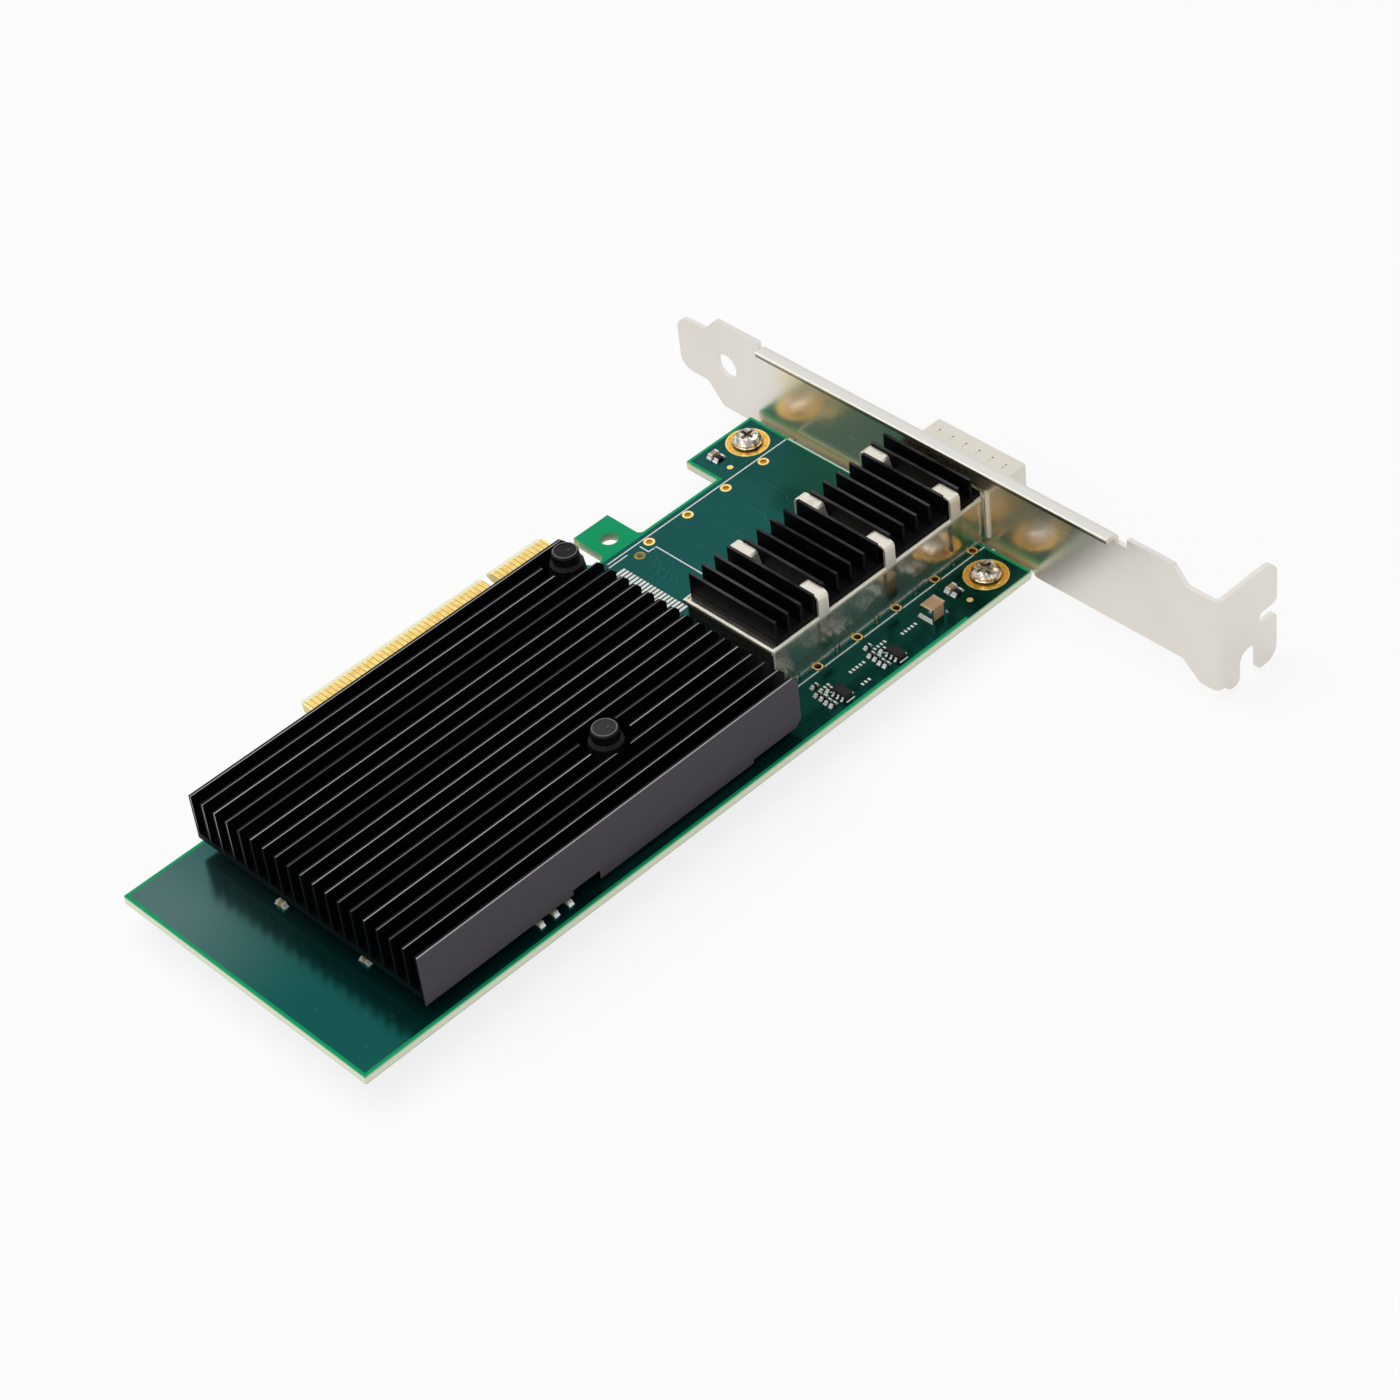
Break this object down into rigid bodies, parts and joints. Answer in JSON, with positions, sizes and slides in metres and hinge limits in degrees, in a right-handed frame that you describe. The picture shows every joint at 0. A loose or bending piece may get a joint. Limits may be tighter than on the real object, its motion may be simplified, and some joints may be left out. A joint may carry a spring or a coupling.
{
  "type": "network interface card",
  "caption": "Flat expansion card with a gold edge connector, a finned heat sink over its controller, a caged port with its own heat sink, and a folded metal bracket.",
  "frame": {"origin": "tip of the edge connector at the middle of its key notch, on the board's component face", "axes": "+X along the board towards the bracket, +Y out of the edge connector, +Z away from the component face"},
  "size_m": [0.1575, 0.1188, 0.0233],
  "materials": {
    "solder_mask": "green solder mask over glass laminate, semi-gloss",
    "gold_plate": "gold plating, satin",
    "tin_plate": "tinned copper, satin",
    "bracket_steel": "nickel-plated steel, half mirror",
    "screw_steel": "nickel-plated, polished",
    "black_anodised": "black anodised, satin",
    "cage_steel": "nickel-plated sheet, bright",
    "clip_steel": "stainless spring sheet, bright",
    "black_plastic": "black nylon, satin",
    "spring_steel": "zinc-plated wire",
    "chip_resin": "moulded epoxy, matt",
    "ceramic": "fired ceramic, satin",
    "lid_metal": "nickel-plated copper lid",
    "pad_rubber": "soft thermal pad"
  },
  "bodies": {
    "root": {"circuit_board": "solder_mask", "edge_contacts": "gold_plate", "ground_rings": "gold_plate", "fiducials": "gold_plate", "screw_pads": "gold_plate", "bracket": "bracket_steel", "bracket_screws": "screw_steel", "cage_shell": "cage_steel", "cage_floor": "cage_steel", "port_gasket": "clip_steel", "connector_housing": "black_plastic", "connector_contacts": "gold_plate", "cage_heatsink": "black_anodised", "heatsink_clip": "clip_steel", "main_heatsink": "black_anodised", "push_pins": "black_plastic", "push_pin_springs": "spring_steel", "controller_substrate": "chip_resin", "controller_lid": "lid_metal", "thermal_pad": "pad_rubber", "spare_port_pads": "tin_plate", "voltage_regulators": "chip_resin", "regulator_leads": "tin_plate", "flash_memory": "chip_resin", "flash_leads": "tin_plate", "oscillator": "lid_metal", "power_inductors": "chip_resin", "bulk_capacitor": "ceramic", "bulk_capacitor_ends": "tin_plate", "ground_capacitors": "ceramic", "ground_capacitors_ends": "tin_plate", "ground_resistors": "chip_resin", "ground_resistors_ends": "tin_plate", "filter_capacitors": "ceramic", "filter_capacitors_ends": "tin_plate", "edge_capacitors": "ceramic", "edge_capacitors_ends": "tin_plate", "solder_side_capacitors": "ceramic", "solder_side_capacitors_ends": "tin_plate"}
  },
  "joints": []
}
